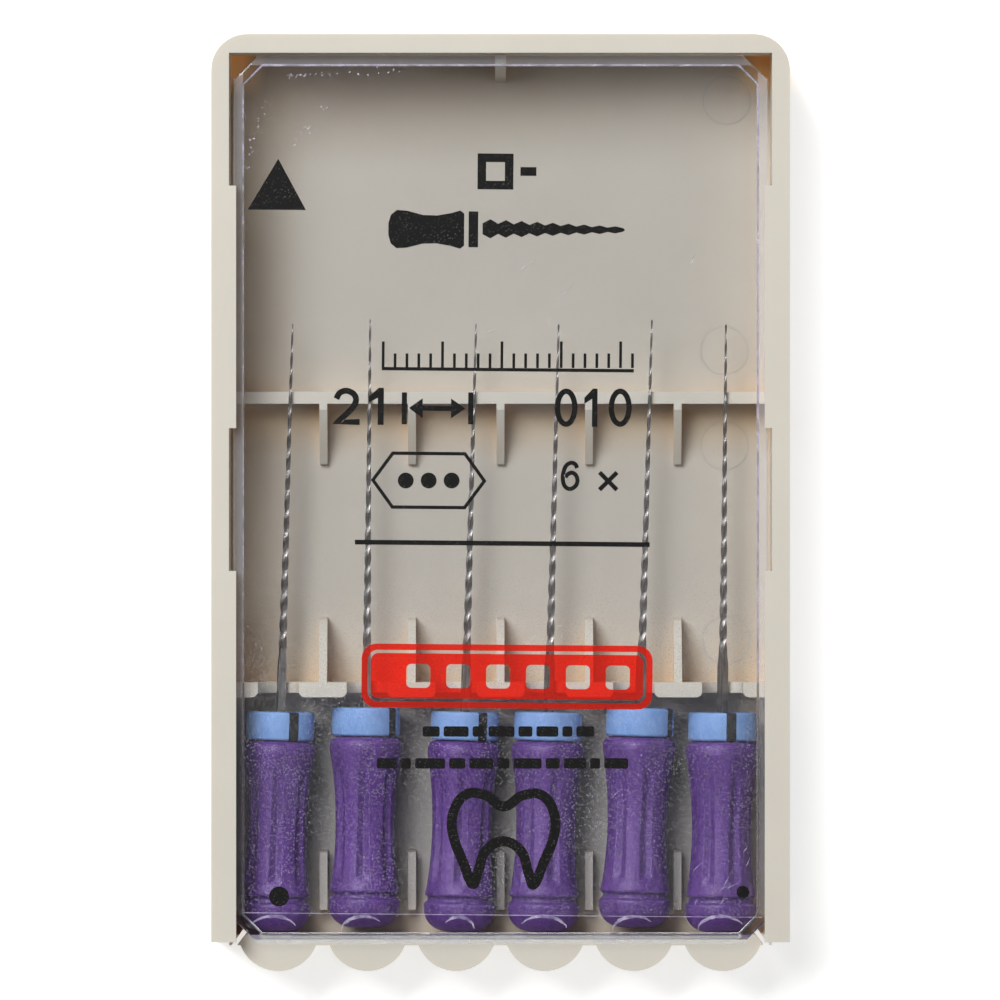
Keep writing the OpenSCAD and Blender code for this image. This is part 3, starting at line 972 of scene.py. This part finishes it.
def file_sign():
    """Outline of a handle on its side."""
    upper = [(-5.62, 0.3), (-5.5, 0.72), (-5.2, 0.96), (-4.7, 0.93), (-3.9, 0.72), (-3.2, 0.7),
             (-2.5, 0.82), (-2.02, 0.96), (-1.82, 0.8)]
    return upper + [(x, -y) for x, y in reversed(upper)]


def blade_sign():
    """Outline of a toothed blade on its side."""
    upper, lower = [], []
    x0, x1, teeth = -0.9, 6.15, 9
    for i in range(teeth * 2 + 1):
        s = i / (teeth * 2)
        half = (0.5 - 0.34 * s) * (1.0 if i % 2 else 0.55)
        upper.append((x0 + (x1 - x0) * s, half))
        lower.append((x0 + (x1 - x0) * s, -half))
    return upper + [(x1 + 0.1, 0)] + list(reversed(lower))


SIGN_Y = 13.72
print_black("print_file_handle", [(x, SIGN_Y + y) for x, y in file_sign()])
print_black("print_file_stop", rectangle(-1.6, -1.12, SIGN_Y - 0.9, SIGN_Y + 0.9))
print_black("print_file_blade", [(x, SIGN_Y + y) for x, y in blade_sign()])

# ruler
RULE_X, RULE_Y, RULE_T = -5.95, 6.6, 0.17
TICKS, TICK_STEP, TICK_T = 22, 0.595, 0.14
RULE_END = RULE_X + (TICKS - 1) * TICK_STEP + TICK_T
print_black("print_ruler_line", rectangle(RULE_X, RULE_END, RULE_Y, RULE_Y + RULE_T))
for i in range(TICKS):
    tall = 1.5 if i % 5 == 0 else 0.9
    x = RULE_X + i * TICK_STEP
    print_black(f"print_ruler_tick_{i}", rectangle(x, x + TICK_T, RULE_Y + RULE_T, RULE_Y + tall))

# length in figures with a dimension sign, and the size in figures
figure("print_length_2", 2, -8.4, -7.05, 3.92, 5.78, 0.3)
figure("print_length_1", 1, -6.6, -5.85, 3.92, 5.78, 0.3)
for i, x in enumerate((-4.95, -1.62)):
    print_black(f"print_span_end_{i}", rectangle(x, x + 0.26, 3.95, 5.55))
print_black("print_span_arrow", [
    (-4.6, 4.75), (-3.9, 5.25), (-3.9, 4.88), (-2.48, 4.88), (-2.48, 5.25), (-1.76, 4.75),
    (-2.48, 4.25), (-2.48, 4.62), (-3.9, 4.62), (-3.9, 4.25),
])
figure("print_size_0", 0, 2.72, 3.86, 3.82, 5.74, 0.27)
figure("print_size_1", 1, 4.2, 4.86, 3.82, 5.74, 0.27)
figure("print_size_00", 0, 5.42, 6.58, 3.82, 5.74, 0.27)

# six-sided material sign with three dots, and the count
hexagon = [(-6.5, 1.13), (-5.45, -0.3), (-1.75, -0.3), (-0.7, 1.13), (-1.75, 2.57), (-5.45, 2.57)]
print_black("print_material_frame", hexagon, offset_loop(hexagon, 0.17))
for i in range(3):
    print_black(f"print_material_dot_{i}", disc(-4.75 + 1.15 * i, 1.13, 0.4))
figure("print_count_6", 6, 3.02, 3.98, 0.62, 2.12, 0.21)
CROSS_X, CROSS_Y, CROSS_ARM, CROSS_HALF = 5.4, 1.1, 0.62, 0.11


def cross_bar(x0, x1, degrees):
    c, s = math.cos(math.radians(degrees)), math.sin(math.radians(degrees))
    return [(CROSS_X + x * c - y * s, CROSS_Y + x * s + y * c)
            for x, y in rectangle(x0, x1, -CROSS_HALF, CROSS_HALF)]


print_black("print_times_a", cross_bar(-CROSS_ARM, CROSS_ARM, 45))
print_black("print_times_bl", cross_bar(-CROSS_ARM, -CROSS_HALF, -45))
print_black("print_times_br", cross_bar(CROSS_HALF, CROSS_ARM, -45))

print_black("print_rule", rectangle(-7.3, 7.48, -2.14, -1.9))

# plain red panel with a reversed-out border and six holes
panel = [rounded(-6.97, 7.62, -10.3, -7.1, 0.75), rounded(-6.66, 7.31, -9.99, -7.41, 0.5)]
flat_print("print_panel_edge", panel, RED_INK)
filled = [rounded(-6.5, 7.15, -9.83, -7.57, 0.38)]
HOLE, HOLE_PITCH = 1.2, 2.0
for i in range(6):
    x = -4.72 + HOLE_PITCH * i
    filled.append(list(reversed(rounded(x, x + HOLE, -9.3, -9.3 + HOLE, 0.25))))
flat_print("print_panel", filled, RED_INK)

# two rows of short strokes where the pack carries small print
STROKE_HALF = 0.26
for row, (x0, x1, y, lengths) in enumerate((
        (-3.9, 4.7, -11.45, (0.85, 1.25, 0.6, 1.3, 0.7, 1.1, 0.5, 0.9)),
        (-6.2, 6.4, -13.05, (1.0, 0.5, 1.5, 0.8, 1.2, 0.6, 1.4, 0.7, 1.1, 0.5, 1.2)))):
    gap = (x1 - x0 - sum(lengths)) / (len(lengths) - 1)
    x = x0
    for i, length in enumerate(lengths):
        print_black(f"print_row_{row}_{i}",
                    rounded(x, x + length, y - STROKE_HALF, y + STROKE_HALF, 0.1, 3))
        x += length + gap

# tooth sign
tooth = [
    (0.15, -14.95), (0.9, -14.45), (1.9, -14.3), (2.65, -14.85), (3.0, -15.9), (2.85, -17.0),
    (2.4, -18.1), (1.95, -19.2), (1.45, -19.3), (1.15, -18.5), (0.85, -17.6), (0.15, -17.2),
    (-0.55, -17.6), (-0.85, -18.5), (-1.15, -19.3), (-1.65, -19.2), (-2.1, -18.1), (-2.55, -17.0),
    (-2.7, -15.9), (-2.35, -14.85), (-1.6, -14.3), (-0.6, -14.45),
]
outer = list(reversed(smooth_loop(tooth)))
print_black("print_tooth", outer, offset_loop(outer, 0.5))

print_black("print_dot_left", disc(-11.1, -19.72, 0.5))
print_black("print_dot_right", disc(12.15, -19.5, 0.33, 9))


# ---------------------------------------------------------------- moulding line, scuffs, painted highlights and painted glints on the cover

SCUFF_T = 0.006


def ribbon(name, points, widths):
    """A thin tapering strip along a line of points on the cover."""
    left, right = [], []
    for i, (x, y) in enumerate(points):
        a = Vector(points[max(0, i - 1)])
        b = Vector(points[min(len(points) - 1, i + 1)])
        n = Vector((-(b - a).y, (b - a).x)).normalized() * widths[i] / 2
        left.append((x + n.x, y + n.y))
        right.append((x - n.x, y - n.y))
    return flat_print(name, [left + list(reversed(right))], PALE_SCUFFS_AND_PAINTED_GLINTS, SCUFF_T, 0.0)


ribbon("cover_line", [(-13.1, -20.53), (-6, -20.6), (0, -20.65), (7, -20.72), (13.1, -20.76)],
       [0.045, 0.04, 0.05, 0.04, 0.045])

# painted highlight lines along the inner edge of the bead, with its cut corners, for the light that the
# bead's inner edge refracts
inner_x, inner_y = COVER_HIGH.x - BEAD_W, COVER_HIGH.y - BEAD_W
cut = COVER_CHAMFER - 0.29
ribbon("cover_bead_painted_highlight_left", [(-inner_x, -9.0), (-inner_x, 5.0), (-inner_x, inner_y - cut),
                                (cut - inner_x, inner_y)], [0.03, 0.05, 0.08, 0.1])
ribbon("cover_bead_painted_highlight_top", [(cut - inner_x, inner_y), (-4, inner_y), (6, inner_y),
                               (inner_x - cut, inner_y)], [0.11, 0.09, 0.1, 0.08])
ribbon("cover_bead_painted_highlight_right", [(inner_x - cut, inner_y), (inner_x, inner_y - cut), (inner_x, 5.0),
                                 (inner_x, -9.0)], [0.1, 0.1, 0.13, 0.08])

# a bowed glint over the end of each handle
draw = random.Random(11)
GLINT_Y, GLINT_STEPS = -21.45, 16
for k in FILES:
    matrix, _ = file_frame(k)
    x = matrix.translation.x / MM
    points, widths = [], []
    start, sweep, r = draw.uniform(5, 40), draw.uniform(110, 150), draw.uniform(0.75, 1.25)
    for i in range(GLINT_STEPS + 1):
        a = math.radians(start + sweep * i / GLINT_STEPS)
        points.append((x + draw.uniform(-0.03, 0.03) + r * math.cos(a),
                       GLINT_Y + (0.62 + 0.1 * r) * math.sin(a)))
        widths.append(0.03 + 0.19 * math.sin(math.pi * i / GLINT_STEPS) * draw.uniform(0.5, 1.0))
    ribbon(f"cover_glint_{k}", points, widths)

# hairline scuffs: the first few in the lower right corner, the others anywhere
SCUFFS, IN_CORNER = 16, 9
for i in range(SCUFFS):
    x, y = draw.uniform(9.5, 12.8), draw.uniform(-20.2, -17.4)
    if i >= IN_CORNER:
        x, y = draw.uniform(-12.5, 12.5), draw.uniform(-20, 20)
    a, length = math.radians(draw.uniform(20, 70)), draw.uniform(0.3, 1.1)
    bend = draw.uniform(-0.15, 0.15)
    points = [(x + length * s * math.cos(a) - bend * s * (1 - s) * math.sin(a),
               y + length * s * math.sin(a) + bend * s * (1 - s) * math.cos(a))
              for s in (0, 0.25, 0.5, 0.75, 1)]
    ribbon(f"cover_scuff_{i}", points, [0.012, 0.028, 0.034, 0.026, 0.01])


def dotted(name, points, count, spread):
    """A row of pin-point scratches along a line of points."""
    loops = []
    for i in range(count):
        s = (i + draw.random()) / count * (len(points) - 1)
        a, b = Vector(points[int(s)]), Vector(points[min(len(points) - 1, int(s) + 1)])
        spot = a.lerp(b, s - int(s))
        x, y = spot.x + draw.gauss(0, spread), spot.y + draw.gauss(0, spread)
        r = draw.uniform(0.03, 0.055)
        turn = draw.uniform(0, math.pi)
        reach = [(turn + q * math.pi / 2, r * (1.8 if q % 2 else 1)) for q in range(4)]
        loops.append([(x + far * math.cos(a), y + far * math.sin(a)) for a, far in reach])
    flat_print(name, loops, PALE_SCUFFS_AND_PAINTED_GLINTS, SCUFF_T, 0.0)


dotted("cover_dots_1", [(-10.8, 21.4), (-10.2, 21.46), (-9.0, 21.52)], 13, 0.05)
dotted("cover_dots_2", [(-9.0, 21.5), (-6.8, 21.6), (-4.6, 21.64)], 11, 0.07)
dotted("cover_dots_3", [(-11.8, 20.2), (-12.1, 19.0), (-12.5, 17.9), (-12.6, 16.6)], 15, 0.06)
dotted("cover_dots_4", [(-8.6, 20.0), (-9.6, 18.7), (-10.7, 17.8)], 11, 0.16)


# ---------------------------------------------------------------- floor

FLOOR_HALF, FLOOR_DROP = 900, 0.05
paper = Nodes("floor")
paper.link(paper.ramp(paper.noise(0.004, 2), [(0.3, (0.93, 0.93, 0.93)), (0.7, (0.96, 0.96, 0.96))]),
           paper.bsdf.inputs["Base Color"])
paper.set(Roughness=0.9, Emission_Color=(1, 1, 1, 1), Emission_Strength=0.6)
floor = new_object("floor", [(x, y, -FLOOR_DROP)
                             for x, y in rectangle(-FLOOR_HALF, FLOOR_HALF, -FLOOR_HALF, FLOOR_HALF)],
                   [(0, 1, 2, 3)], paper.material)
